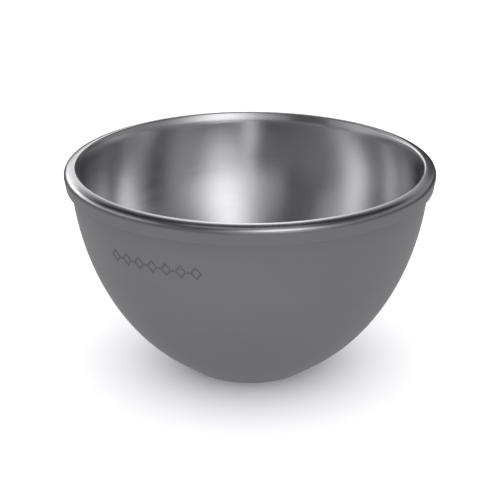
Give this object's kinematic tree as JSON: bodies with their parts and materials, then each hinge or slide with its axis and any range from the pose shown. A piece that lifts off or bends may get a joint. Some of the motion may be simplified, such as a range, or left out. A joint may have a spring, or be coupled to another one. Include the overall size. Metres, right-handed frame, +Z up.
{
  "type": "shaving bowl",
  "caption": "Round double-walled steel shaving bowl with a rolled lip, a collar under the rim, a flat foot and a stamped band on the front.",
  "frame": {"origin": "middle of the plane that the foot stands on, on the bowl's axis", "axes": "+Z up along the bowl's axis, -Y towards the front with the stamped band, +X to the right seen from the front"},
  "size_m": [0.11, 0.11, 0.0635],
  "materials": {
    "polished_steel": "polished liner, satin on the collar",
    "satin_steel": "fine satin, dark grey",
    "sealant": "matt",
    "silicone": "matt",
    "cap_steel": "brushed"
  },
  "bodies": {
    "root": {"inner_bowl": "polished_steel", "outer_shell": "satin_steel", "rim_seal": "sealant", "vent_plug": "silicone", "base_cap": "cap_steel"}
  },
  "joints": []
}
